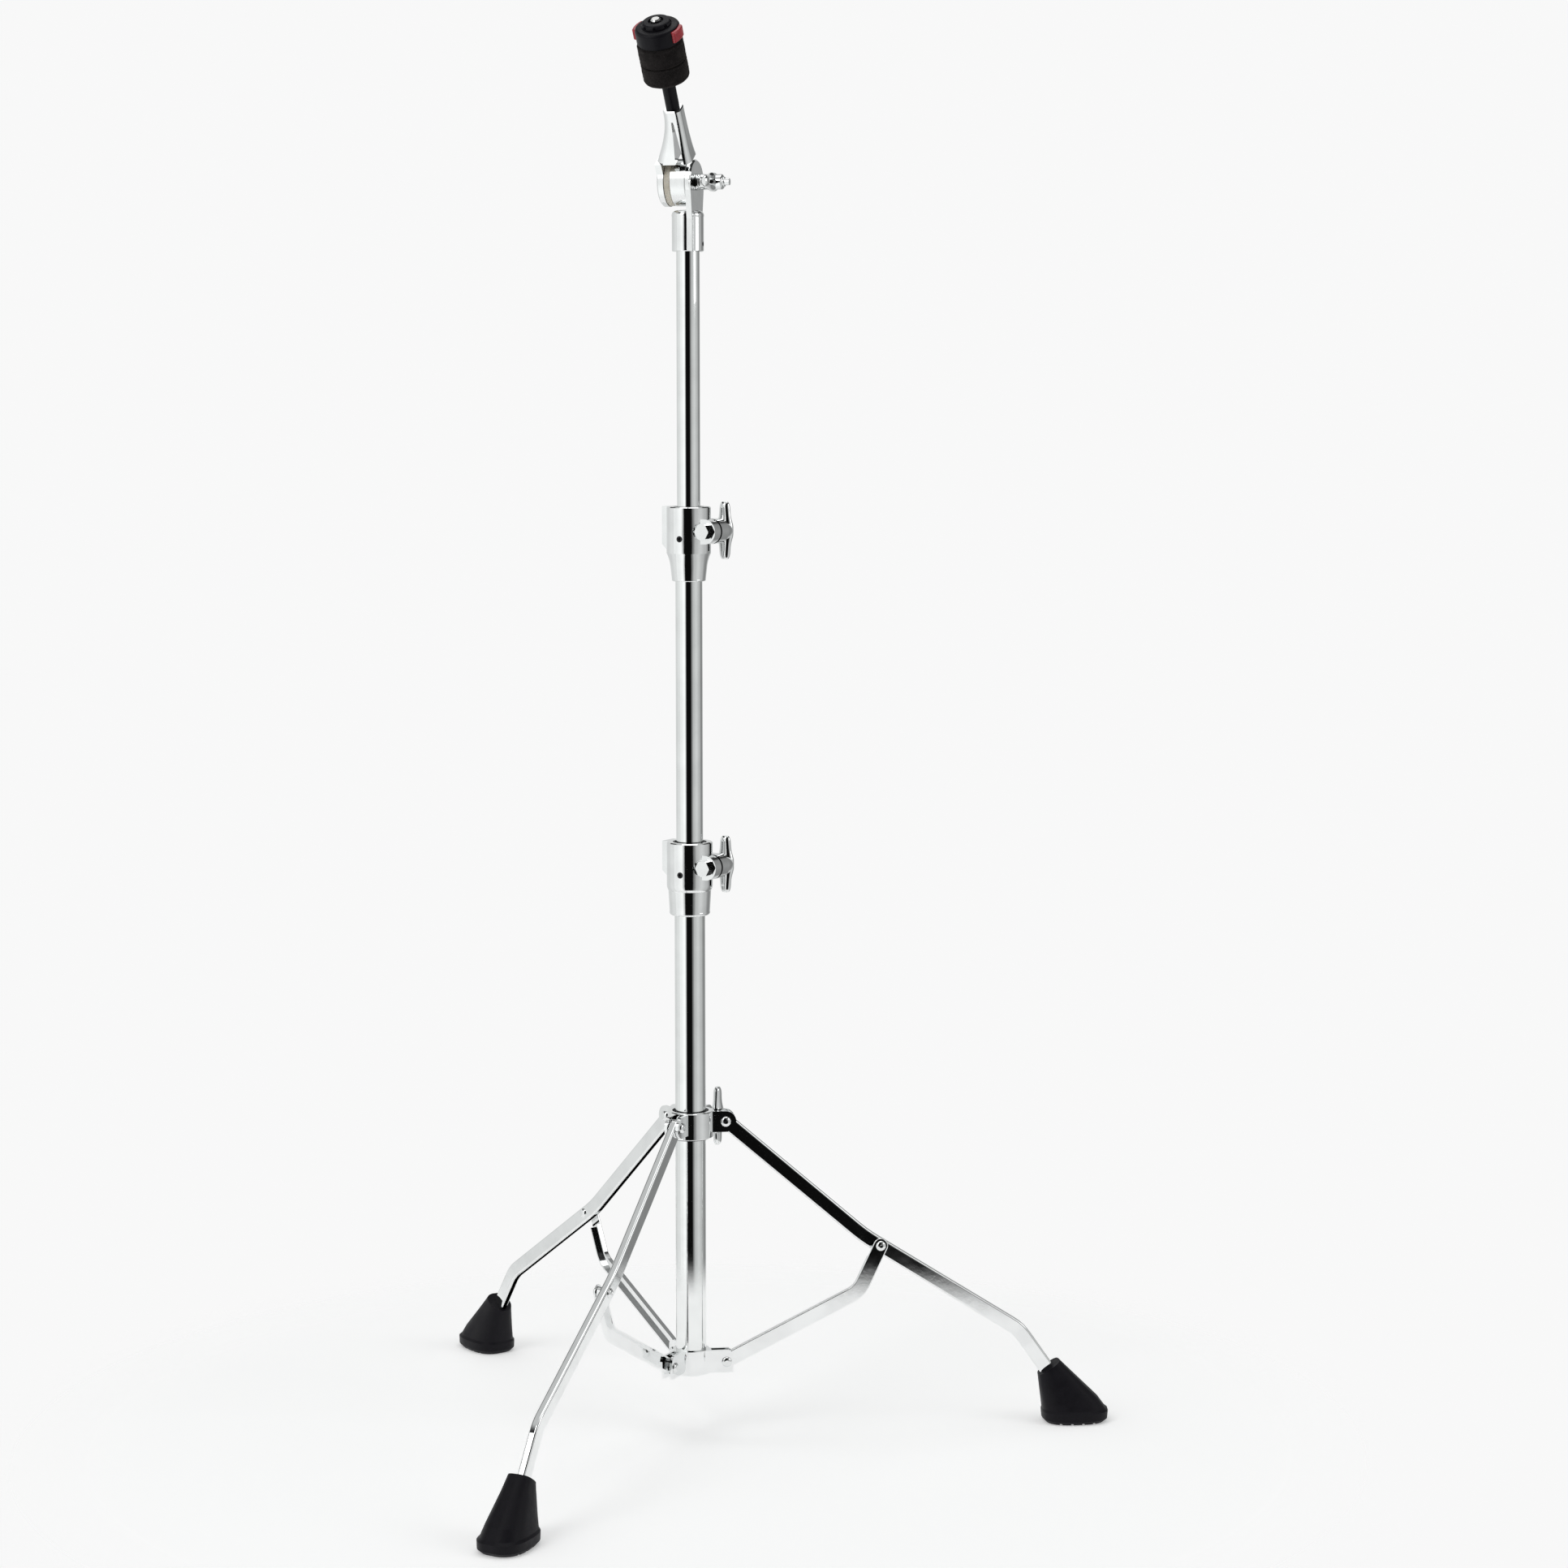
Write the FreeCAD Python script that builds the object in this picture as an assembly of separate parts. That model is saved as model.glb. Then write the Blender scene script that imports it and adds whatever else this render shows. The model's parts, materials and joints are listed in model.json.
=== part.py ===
"""Straight cymbal stand: folding tripod, three telescoping tubes, tilter, felts and quick-release topper.

Millimetres, +Z up.  The origin is on the floor, on the axis of the upright tubes.
Azimuths are counted from +X towards +Y; leg C points along +X.
"""
import FreeCAD, Part
import math
import os

from FreeCAD import Vector

# ---------------------------------------------------------------- driving dimensions
# tubes: outer radii of the three standard sizes (1 inch, 7/8 inch, 3/4 inch)
BASE_TUBE_R = 12.7
MIDDLE_TUBE_R = 11.1
TOP_TUBE_R = 9.55
TUBE_WALL = 1.2
SLIDE_GAP = 0.3          # clearance between curved faces that move on each other
PIN_GAP = 0.08           # clearance of a rivet or bolt in a turning hole

# heights above the floor
BRACKET_Z = 52.0         # lower end of the base tube and of its leg bracket
BRACKET_HEIGHT = 20.5
COLLAR_Z = 253.5         # underside of the sliding leg collar
COLLAR_HEIGHT = 22.5
LOWER_JOINT_TOP = 502.0
UPPER_JOINT_TOP = 778.5
TILTER_SOCKET_Z = 985.0
TILTER_SOCKET_HEIGHT = 33.6
PIVOT_Z = 1040.5         # tilter hinge axis

# tripod linkage in the plane of one leg: distance from the tube axis, height
COLLAR_PIVOT = (29.0, 266.7)
BRACE_PIVOT = (159.5, 157.8)
BRACKET_PIVOT = (29.0, 62.5)
LEG_BEND = (146.0, 165.2)
LEG_KNEE = (278.5, 81.0)
LEG_END = (311.5, 33.5)
BRACE_BEND = (141.5, 119.2)
LEG_AZIMUTHS = {"a": 120.0, "b": 240.0, "c": 0.0}

LEG_DEPTH = 12.7         # channel, open underneath
LEG_WIDTH = 7.0
LEG_WALL = 1.5
BRACE_WIDTH = 12.5       # shallow channel on the clockwise side of its leg
BRACE_WALL = 1.4
BRACE_OUTER_Y = -8.3     # outside of the brace's web, across the leg
BRACE_INNER_Y = -3.8     # free edge of the brace's flanges
RIVET_R = 3.0
RIVET_HEAD_R = 4.2

# clamps
JOINT_LUG_AZIMUTH = -38.0
JOINT_BOLT_OFFSET = 20.5     # bolt axis to tube axis
JOINT_BOLT_DROP = 20.0       # bolt axis below the collar's top
JOINT_SCREW_AZIMUTH = -120.0
COLLAR_LUG_AZIMUTH = 60.0
COLLAR_BOLT_OFFSET = 25.0
COLLAR_BOLT_Z = 267.5
WING_SPAN = 47.0

# tilter and cymbal seat
HINGE_AZIMUTH = -23.0
REST_LEAN = 33.0             # degrees from upright, towards azimuth HINGE_AZIMUTH - 90
DRUM_R = 19.2
ARM_TOP = 68.4               # distances along the leaning stud, from the hinge axis
STUD_START = 48.0
SLEEVE_START = 64.4
FELT_START = 94.2
FELT_THICKNESS = 16.8
FELT_R = 18.8
TOPPER_HEIGHT = 13.5
STUD_END = 147.4
STUD_R = 3.95
SLEEVE_R = 5.5
BUTTON_AZIMUTH = -35.0
BUTTON_TRAVEL = 2.0

Z_AXIS = Vector(0, 0, 1)
ORIGIN = Vector(0, 0, 0)


# ---------------------------------------------------------------- helpers
def save(name, shape):
    """Write one node, as one solid or a compound of separate solids."""
    tidy = shape.removeSplitter()
    solids = tidy.Solids
    whole = solids[0] if len(solids) == 1 else Part.makeCompound(solids)
    if not whole.isValid():
        raise ValueError(name + " is not a valid solid")
    whole.exportStep("parts/" + name + ".step")
    print(f"{name:22s} {len(solids)} solid(s) {whole.Volume:10.0f} mm3")


def turned(outline):
    """Solid of revolution about Z of a closed outline of (radius, height) points.

    An entry of two points is a middle point and an end point of an arc.
    """
    edges = []
    start = Vector(outline[0][0], 0, outline[0][1])
    first = start
    for item in outline[1:]:
        if isinstance(item[0], tuple):
            middle, end = (Vector(p[0], 0, p[1]) for p in item)
            edges.append(Part.Arc(start, middle, end).toShape())
        else:
            end = Vector(item[0], 0, item[1])
            edges.append(Part.makeLine(start, end))
        start = end
    edges.append(Part.makeLine(start, first))
    return Part.Face(Part.Wire(edges)).revolve(ORIGIN, Z_AXIS, 360)


def pipe(outer, inner, low, high):
    """Plain hollow cylinder about Z."""
    solid = Part.makeCylinder(outer, high - low, Vector(0, 0, low))
    return solid.cut(Part.makeCylinder(inner, high - low, Vector(0, 0, low)))


def block(low, high):
    """Box between two opposite corners."""
    return Part.makeBox(high[0] - low[0], high[1] - low[1], high[2] - low[2], Vector(*low))


def bar_y(radius, low, high, x, z):
    """Round bar along Y."""
    return Part.makeCylinder(radius, high - low, Vector(x, low, z), Vector(0, 1, 0))


def bar_x(radius, low, high, y, z):
    """Round bar along X."""
    return Part.makeCylinder(radius, high - low, Vector(low, y, z), Vector(1, 0, 0))


def spun(shape, azimuth):
    """Copy turned about the tube axis."""
    copy = shape.copy()
    copy.rotate(ORIGIN, Z_AXIS, azimuth)
    return copy


def joined(*shapes):
    """Union of several shapes."""
    return shapes[0].fuse(list(shapes[1:]))


def hexagon_y(across_flats, low, high, x, z):
    """Hexagonal prism along Y, a flat facing up, with its outer corners turned off."""
    radius = across_flats / math.sqrt(3)
    corners = [Vector(x + radius * math.cos(math.radians(60 * i)), low,
                      z + radius * math.sin(math.radians(60 * i))) for i in range(7)]
    prism = Part.Face(Part.makePolygon(corners)).extrude(Vector(0, high - low, 0))
    return prism.common(bar_y(0.96 * radius, low, high, x, z))


def ellipse_wire(centre, half_width, half_depth, normal, width_axis):
    """Closed ellipse about a centre; the wider half lies along width_axis."""
    curve = Part.Ellipse(ORIGIN, half_width, half_depth)
    edge = curve.toShape()
    third = normal.cross(width_axis)
    matrix = FreeCAD.Matrix(width_axis.x, third.x, normal.x, centre.x,
                            width_axis.y, third.y, normal.y, centre.y,
                            width_axis.z, third.z, normal.z, centre.z)
    return Part.Wire(edge.transformGeometry(matrix))


def wing_nut(hub_length, hub_r, tip_r, bolt_r, span, wing_at):
    """Cast wing nut on +Y: hub from y=0, wings up and down, bored for its bolt.

    wing_at is the distance of the wings' middle plane from the nut's seat.
    """
    hub = turned([(0, 0), (hub_r, 0), (hub_r, 2.0),
                  ((hub_r * 0.92, hub_length * 0.5), (tip_r, hub_length - 1.5)),
                  ((tip_r * 0.85, hub_length - 0.4), (tip_r * 0.55, hub_length)), (0, hub_length)])
    hub.rotate(ORIGIN, Vector(1, 0, 0), -90)
    nut = hub
    stations = [(0.0, 7.4, 4.4), (0.35, 6.4, 3.9), (0.7, 5.0, 3.2), (0.92, 4.1, 2.7), (1.0, 2.8, 1.6)]
    for up in (1, -1):
        sections = [ellipse_wire(Vector(0, wing_at, up * share * span / 2), width, depth,
                                 Vector(0, 0, 1), Vector(1, 0, 0)) for share, width, depth in stations]
        nut = nut.fuse(Part.makeLoft(sections, True, False))
    return nut.cut(bar_y(bolt_r, -1, hub_length + 1, 0, 0))


# ---------------------------------------------------------------- channels of the tripod
def unit(start, end):
    """Unit direction between two points of the leg's plane."""
    length = math.hypot(end[0] - start[0], end[1] - start[1])
    return ((end[0] - start[0]) / length, (end[1] - start[1]) / length)


def offset_line(points, radii, offset):
    """Edges beside a bent centre line, offset to its left, in the XZ plane."""
    ways = [unit(a, b) for a, b in zip(points, points[1:])]
    sides = [(-w[1], w[0]) for w in ways]
    edges = []
    start = Vector(points[0][0] + sides[0][0] * offset, 0, points[0][1] + sides[0][1] * offset)
    for i, corner in enumerate(points[1:-1]):
        before, after = ways[i], ways[i + 1]
        turn = math.atan2(before[0] * after[1] - before[1] * after[0],
                          before[0] * after[0] + before[1] * after[1])
        lead = radii[i] * math.tan(abs(turn) / 2)
        left = 1 if turn > 0 else -1
        entry = (corner[0] - before[0] * lead, corner[1] - before[1] * lead)
        leave = (corner[0] + after[0] * lead, corner[1] + after[1] * lead)
        centre = (entry[0] + left * sides[i][0] * radii[i], entry[1] + left * sides[i][1] * radii[i])
        inward = unit(centre, corner)
        reach = radii[i] - left * offset
        a = Vector(entry[0] + sides[i][0] * offset, 0, entry[1] + sides[i][1] * offset)
        b = Vector(leave[0] + sides[i + 1][0] * offset, 0, leave[1] + sides[i + 1][1] * offset)
        middle = Vector(centre[0] + inward[0] * reach, 0, centre[1] + inward[1] * reach)
        edges.append(Part.makeLine(start, a))
        edges.append(Part.Arc(a, middle, b).toShape())
        start = b
    end = Vector(points[-1][0] + sides[-1][0] * offset, 0, points[-1][1] + sides[-1][1] * offset)
    edges.append(Part.makeLine(start, end))
    return edges


def strip(points, radii, low, high, side_from, side_to, round_start=False, round_end=False):
    """Bent bar between two offsets of a centre line, extruded across the leg."""
    lower = offset_line(points, radii, low)
    upper = offset_line(points, radii, high)
    ends = []
    for rounded, index, way, sign in ((round_start, 0, unit(points[0], points[1]), -1),
                                      (round_end, -1, unit(points[-2], points[-1]), 1)):
        a = lower[index].Vertexes[index].Point
        b = upper[index].Vertexes[index].Point
        if rounded:
            reach = (high - low) / 2
            tip = (a + b) * 0.5 + Vector(way[0] * reach * sign, 0, way[1] * reach * sign)
            ends.append(Part.Arc(a, tip, b).toShape())
        else:
            ends.append(Part.makeLine(a, b))
    wire = Part.Wire(Part.sortEdges(lower + upper + ends)[0])
    solid = Part.Face(wire).extrude(Vector(0, side_to - side_from, 0))
    solid.translate(Vector(0, side_from, 0))
    return solid


def along(start, end, distance):
    """Point at a distance from start towards end."""
    way = unit(start, end)
    return (start[0] + way[0] * distance, start[1] + way[1] * distance)


LEG_LINE = [COLLAR_PIVOT, LEG_BEND, LEG_KNEE, LEG_END]
LEG_RADII = [140.0, 38.0]
BRACE_LINE = [BRACKET_PIVOT, BRACE_BEND, BRACE_PIVOT]
BRACE_RADII = [22.0]


def leg_outer(grow=0.0, line=None):
    """The leg's solid envelope, grown all round by a margin."""
    half = LEG_DEPTH / 2 + grow
    wide = LEG_WIDTH / 2 + grow
    return strip(line or LEG_LINE, LEG_RADII, -half, half, -wide, wide, round_start=True)


def leg_channel():
    """Steel channel from the collar's ears to the foot, web on top, with its rivet holes."""
    half = LEG_DEPTH / 2
    wide = LEG_WIDTH / 2
    body = leg_outer()
    rim = [e for e in body.Edges if on_upper_rim(e, half, wide)]
    body = body.makeFillet(1.7, rim)
    hollow_line = [along(LEG_LINE[0], LEG_LINE[1], -10)] + LEG_LINE[1:3]
    hollow_line.append(along(LEG_LINE[3], LEG_LINE[2], -2))
    hollow = strip(hollow_line, LEG_RADII, -half - 2, half - LEG_WALL, LEG_WALL - wide, wide - LEG_WALL)
    body = body.cut(hollow)
    collar_hole = bar_y(RIVET_R + PIN_GAP, -wide - 1, wide + 1, *COLLAR_PIVOT)
    brace_hole = bar_y(RIVET_R, -wide - 1, wide + 1, *BRACE_PIVOT)
    return body.cut(collar_hole).cut(brace_hole)


def on_upper_rim(edge, half, wide):
    """True for the long outer edges of the leg's web."""
    rim = offset_line(LEG_LINE, LEG_RADII, half)
    middle = edge.valueAt((edge.FirstParameter + edge.LastParameter) / 2)
    if abs(abs(middle.y) - wide) > 1e-6:
        return False
    flat = Part.Vertex(Vector(middle.x, 0, middle.z))
    return min(part.distToShape(flat)[0] for part in rim) < 1e-4


def brace_channel():
    """Shallow channel from the bracket's ears to the leg; flanges stop short of both rivets."""
    half = BRACE_WIDTH / 2
    web = strip(BRACE_LINE, BRACE_RADII, -half, half, BRACE_OUTER_Y, BRACE_OUTER_Y + BRACE_WALL,
                round_start=True, round_end=True)
    rail = [along(BRACKET_PIVOT, BRACE_BEND, 1.0), BRACE_BEND, along(BRACE_PIVOT, BRACE_BEND, 13.0)]
    low_flange = strip(rail, BRACE_RADII, -half, BRACE_WALL - half, BRACE_OUTER_Y, BRACE_INNER_Y)
    high_flange = strip(rail, BRACE_RADII, half - BRACE_WALL, half, BRACE_OUTER_Y, BRACE_INNER_Y)
    body = joined(web, low_flange, high_flange)
    corners = [e for e in body.Edges if abs(e.CenterOfMass.y - BRACE_OUTER_Y) < 1e-6]
    body = body.makeFillet(0.9, corners)
    for point, gap in ((BRACE_PIVOT, PIN_GAP), (BRACKET_PIVOT, 0.0)):
        body = body.cut(bar_y(RIVET_R + gap, BRACE_OUTER_Y - 1, BRACE_INNER_Y + 1, *point))
    return body


def rivet_head(x, z, seat, outward):
    """Low domed rivet head standing on the plane y = seat."""
    dome = turned([(0, 0), (RIVET_HEAD_R, 0), (RIVET_HEAD_R, 0.5),
                   ((RIVET_HEAD_R * 0.76, 1.5), (1.0, 2.0)), (0, 2.0)])
    dome.rotate(ORIGIN, Vector(1, 0, 0), -90 * outward)
    dome.translate(Vector(x, seat, z))
    return dome


def brace_rivet():
    """Rivet through the leg and the brace, with a shoulder that spaces them apart."""
    x, z = BRACE_PIVOT
    wide = LEG_WIDTH / 2
    web_inner = BRACE_OUTER_Y + BRACE_WALL
    seat = BRACE_OUTER_Y - 0.2
    return joined(bar_y(RIVET_R, seat, wide, x, z),
                  bar_y(4.6, web_inner + 0.2, -wide, x, z),
                  rivet_head(x, z, seat, -1),
                  rivet_head(x, z, wide, 1))


# foot, in the plane of one leg: height, inner side, outer side, half width
FOOT_SIDES = [(58.0, 293.4, 309.0, 8.6), (40.0, 295.8, 327.1, 11.6), (20.0, 298.4, 347.4, 16.4),
              (11.5, 299.5, 353.6, 18.6)]
FOOT_RIM = [(11.5, 299.5, 353.6, 18.6), (9.6, 299.0, 356.0, 20.4), (3.0, 299.6, 355.4, 20.4),
            (0.0, 302.4, 352.0, 17.8)]
FOOT_MOUTH = 15.0            # how far the leg goes into the foot
GROOVE_WIDTH = 2.4
GROOVE_DEPTH = 1.3


def rubber_foot():
    """Moulded foot round the leg's end: straight sides, a rim at the floor, grooves across the sole."""
    sides = Part.makeLoft([foot_section(*row) for row in FOOT_SIDES], True, True)
    rim = Part.makeLoft([foot_section(*row) for row in FOOT_RIM], True, True)
    body = sides.fuse(rim)
    mouth = along(LEG_END, LEG_KNEE, FOOT_MOUTH)
    toe = unit(LEG_KNEE, LEG_END)
    above = block((-60, -40, 0), (60, 40, 80))
    above.rotate(ORIGIN, Vector(0, 1, 0), math.degrees(math.atan2(-toe[0], -toe[1])))
    above.translate(Vector(mouth[0], 0, mouth[1]))
    body = body.cut(above)
    for i in range(4):
        at = 312.0 + 9.5 * i
        body = body.cut(block((at, -30, -1), (at + GROOVE_WIDTH, 30, GROOVE_DEPTH)))
    return body.cut(leg_outer(0.05))


def foot_section(height, inner, outer, half_width):
    """Level cross-section of the foot: a rounded rectangle with bulging sides."""
    count = 16
    power = 0.74
    points = []
    for i in range(count):
        angle = 2 * math.pi * i / count
        c, s = math.cos(angle), math.sin(angle)
        x = (inner + outer) / 2 + (outer - inner) / 2 * math.copysign(abs(c) ** power, c)
        y = half_width * math.copysign(abs(s) ** power, s)
        points.append(Vector(x, y, height))
    curve = Part.BSplineCurve()
    curve.interpolate(points, PeriodicFlag=True)
    return Part.Wire(curve.toShape())


# ---------------------------------------------------------------- leg bracket and collar
def leg_bracket():
    """Ring at the foot of the base tube, with a pair of ears for each brace."""
    top = BRACKET_Z + BRACKET_HEIGHT
    ring = Part.makeCylinder(15.2, BRACKET_HEIGHT, Vector(0, 0, BRACKET_Z))
    centre_y = (BRACE_OUTER_Y + BRACE_INNER_Y) / 2
    gap = (BRACE_INNER_Y - BRACE_OUTER_Y) / 2 + SLIDE_GAP
    ear_low = BRACKET_Z + 1.5
    for azimuth in LEG_AZIMUTHS.values():
        ears = block((6, centre_y - gap - 2.3, ear_low), (34.6, centre_y + gap + 2.3, top))
        corner = [e for e in ears.Edges if e.Length < 60 and abs(e.CenterOfMass.x - 34.6) < 1e-6
                  and abs(e.CenterOfMass.z - top) < 1e-6]
        ears = ears.makeFillet(5.0, corner)
        holes = bar_y(RIVET_R, centre_y - gap - 4, centre_y + gap + 4, *BRACKET_PIVOT)
        ring = ring.fuse(spun(ears.cut(holes), azimuth))
    slot = block((16.4, centre_y - gap, BRACKET_Z - 1), (40, centre_y + gap, top + 1))
    for azimuth in LEG_AZIMUTHS.values():
        ring = ring.cut(spun(slot, azimuth))
    return ring.cut(Part.makeCylinder(BASE_TUBE_R, BRACKET_HEIGHT + 2, Vector(0, 0, BRACKET_Z - 1)))


def bracket_rivets():
    """A short headed stud in each ear; the brace's end lies free between them."""
    centre_y = (BRACE_OUTER_Y + BRACE_INNER_Y) / 2
    gap = (BRACE_INNER_Y - BRACE_OUTER_Y) / 2 + SLIDE_GAP
    x, z = BRACKET_PIVOT
    studs = []
    for azimuth in LEG_AZIMUTHS.values():
        for side in (-1, 1):
            inner = centre_y + side * gap
            outer = inner + side * 2.3
            stud = joined(bar_y(RIVET_R, min(inner, outer), max(inner, outer), x, z),
                          rivet_head(x, z, outer, side))
            studs.append(spun(stud, azimuth))
    return Part.makeCompound(studs)


COLLAR_OUTER_R = 18.9
COLLAR_INNER_R = 15.3
COLLAR_EAR_GAP = LEG_WIDTH / 2 + SLIDE_GAP
COLLAR_EAR_OUTER = COLLAR_EAR_GAP + 2.4


def leg_collar():
    """Split ring that slides on the base tube, with ears for the legs and two clamp lugs."""
    top = COLLAR_Z + COLLAR_HEIGHT
    ring = turned([(0, COLLAR_Z), (COLLAR_OUTER_R - 0.6, COLLAR_Z), (COLLAR_OUTER_R, COLLAR_Z + 0.6),
                   (COLLAR_OUTER_R, top - 0.6), (COLLAR_OUTER_R - 0.6, top), (0, top)])
    x, z = COLLAR_PIVOT
    reach = 8.8
    for azimuth in LEG_AZIMUTHS.values():
        ears = block((12, -COLLAR_EAR_OUTER, z - reach), (x, COLLAR_EAR_OUTER, z + reach))
        ears = ears.fuse(bar_y(reach, -COLLAR_EAR_OUTER, COLLAR_EAR_OUTER, x, z))
        ring = ring.fuse(spun(ears, azimuth))
    lug_low, lug_high = COLLAR_BOLT_Z - 9.0, top
    lugs = block((12, -5.0, lug_low), (COLLAR_BOLT_OFFSET + 1.0, 5.0, lug_high))
    lugs = lugs.fuse(bar_y(8.5, -5.0, 5.0, COLLAR_BOLT_OFFSET, COLLAR_BOLT_Z))
    ring = ring.fuse(spun(lugs, COLLAR_LUG_AZIMUTH))
    for azimuth in LEG_AZIMUTHS.values():
        slot = block((COLLAR_OUTER_R + 1.0, -COLLAR_EAR_GAP, COLLAR_Z - 1), (60, COLLAR_EAR_GAP, top + 1))
        hole = bar_y(RIVET_R, -10, 10, x, z)
        ring = ring.cut(spun(slot.fuse(hole), azimuth))
    split = block((0, -1.2, COLLAR_Z - 1), (60, 1.2, top + 1))
    bolt_hole = bar_y(3.0 + PIN_GAP, -12, 12, COLLAR_BOLT_OFFSET, COLLAR_BOLT_Z)
    ring = ring.cut(spun(split.fuse(bolt_hole), COLLAR_LUG_AZIMUTH))
    return ring.cut(Part.makeCylinder(COLLAR_INNER_R, COLLAR_HEIGHT + 2, Vector(0, 0, COLLAR_Z - 1)))


def collar_liner():
    """Split plastic sleeve between the collar and the base tube, with a lip above and below."""
    top = COLLAR_Z + COLLAR_HEIGHT
    bore = BASE_TUBE_R + SLIDE_GAP
    lip = COLLAR_INNER_R + 1.0
    sleeve = turned([(bore, COLLAR_Z - 0.9), (lip, COLLAR_Z - 0.9), (lip, COLLAR_Z),
                     (COLLAR_INNER_R, COLLAR_Z), (COLLAR_INNER_R, top - 1.2), (bore, top - 1.2)])
    return sleeve.cut(spun(block((0, -1.2, COLLAR_Z - 2), (30, 1.2, top + 1)), COLLAR_LUG_AZIMUTH))


def collar_rivets():
    """The three rivets that the legs turn on."""
    x, z = COLLAR_PIVOT
    rivets = []
    for azimuth in LEG_AZIMUTHS.values():
        rivet = joined(bar_y(RIVET_R, -COLLAR_EAR_OUTER, COLLAR_EAR_OUTER, x, z),
                       rivet_head(x, z, COLLAR_EAR_OUTER, 1), rivet_head(x, z, -COLLAR_EAR_OUTER, -1))
        rivets.append(spun(rivet, azimuth))
    return Part.makeCompound(rivets)


def collar_bolt():
    """Clamp bolt of the leg collar: square head on one lug, thread out to the wing nut."""
    x, z = COLLAR_BOLT_OFFSET, COLLAR_BOLT_Z
    head = block((x - 4.5, 5.0, z - 4.5), (x + 4.5, 8.6, z + 4.5))
    head = head.makeFillet(0.7, [e for e in head.Edges if e.CenterOfMass.y > 8.5])
    return spun(joined(head, bar_y(3.0, -18.0, 5.0, x, z)), COLLAR_LUG_AZIMUTH)


def collar_wing_nut():
    """Wing nut of the leg collar, wings upright."""
    nut = wing_nut(13.0, 5.8, 4.6, 3.0 + PIN_GAP, 49.0, 8.0)
    nut.rotate(ORIGIN, Z_AXIS, 180)
    nut.translate(Vector(COLLAR_BOLT_OFFSET, -5.3, COLLAR_BOLT_Z))
    return spun(nut, COLLAR_LUG_AZIMUTH)


# ---------------------------------------------------------------- pipe joints
LUG_FRONT = -8.0             # along the clamp bolt, from the plane through the tube axis
LUG_BACK = 13.2
SLIT_FROM, SLIT_TO = 0.9, 3.1
BOLT_R = 4.0
HEAD_SEAT_R = 8.0            # flats sunk into the collar for the bolt's head and for the wing nut
NUT_SEAT_R = 9.2


def joint_collar(top, outline, bore_r, bushing_r, seat_z, rib_reach, rib_drop):
    """Cast clamp: cylinder and taper, D-shaped lug, spine at the back, bores, slit and screw hole."""
    body = turned(outline)
    x, z = JOINT_BOLT_OFFSET, top - JOINT_BOLT_DROP
    lug = block((6, LUG_FRONT, z - 10.2), (x, LUG_BACK, z + 10.2))
    lug = lug.fuse(bar_y(10.2, LUG_FRONT, LUG_BACK, x, z))
    spine = block((-rib_reach, -8.0, top - rib_drop), (-6, 8.0, top))
    slope = Part.makePolygon([Vector(-rib_reach, -8, top - rib_drop), Vector(-6, -8, top - rib_drop),
                              Vector(-6, -8, top - rib_drop - 14), Vector(-rib_reach, -8, top - rib_drop)])
    skirt = Part.Face(slope).extrude(Vector(0, 16, 0))
    pad = block((-rib_reach - 0.9, -6.0, top - 25.0), (-10, 6.0, top - 10.0))
    body = body.fuse([spun(s, JOINT_LUG_AZIMUTH) for s in (lug, spine, skirt, pad)])
    cuts = [Part.makeCylinder(bushing_r, 60, Vector(0, 0, seat_z)),
            Part.makeCylinder(bore_r, 120, Vector(0, 0, top - 110)),
            spun(block((0, SLIT_FROM, top - 36), (60, SLIT_TO, top + 1)), JOINT_LUG_AZIMUTH),
            spun(bar_y(BOLT_R + PIN_GAP, -40, 40, x, z), JOINT_LUG_AZIMUTH),
            spun(bar_y(HEAD_SEAT_R, -40, LUG_FRONT, x, z), JOINT_LUG_AZIMUTH),
            spun(bar_y(NUT_SEAT_R, LUG_BACK, 40, x, z), JOINT_LUG_AZIMUTH),
            spun(bar_x(2.6, bore_r, 30, 0, top - 26), JOINT_SCREW_AZIMUTH)]
    return body.cut(cuts)


def joint_bolt(top):
    """Clamp bolt: hexagonal head at the front, collar and thread out to the wing nut."""
    x, z = JOINT_BOLT_OFFSET, top - JOINT_BOLT_DROP
    head = hexagon_y(12.0, LUG_FRONT - 5.0, LUG_FRONT - 1.0, x, z)
    washer = bar_y(7.6, LUG_FRONT - 1.0, LUG_FRONT, x, z)
    shank = bar_y(BOLT_R, LUG_FRONT - 0.5, 24.5, x, z)
    return spun(joined(head, washer, shank), JOINT_LUG_AZIMUTH)


def joint_wing_nut(top):
    """Wing nut of a pipe joint; its wings turn just behind the collar."""
    nut = wing_nut(14.0, 8.8, 6.4, BOLT_R + PIN_GAP, WING_SPAN, 9.4)
    nut.translate(Vector(JOINT_BOLT_OFFSET, LUG_BACK + 0.3, top - JOINT_BOLT_DROP))
    return spun(nut, JOINT_LUG_AZIMUTH)


def joint_screw(top, bore_r, face_r):
    """Grub screw that locks the joint to its tube, with a hexagon socket."""
    inner = bore_r
    screw = bar_x(2.6, inner, face_r, 0, top - 26)
    socket = Part.Face(Part.makePolygon([Vector(face_r, 1.5 * math.cos(math.radians(60 * i)),
                                                top - 26 + 1.5 * math.sin(math.radians(60 * i)))
                                         for i in range(7)])).extrude(Vector(-1.6, 0, 0))
    return spun(screw.cut(socket), JOINT_SCREW_AZIMUTH)


def bushing(inner, outer, low, high):
    """Plastic bushing inside a pipe joint, with a chamfered mouth."""
    return turned([(inner, low), (outer, low), (outer, high), (inner + 0.8, high), (inner, high - 0.8)])


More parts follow.
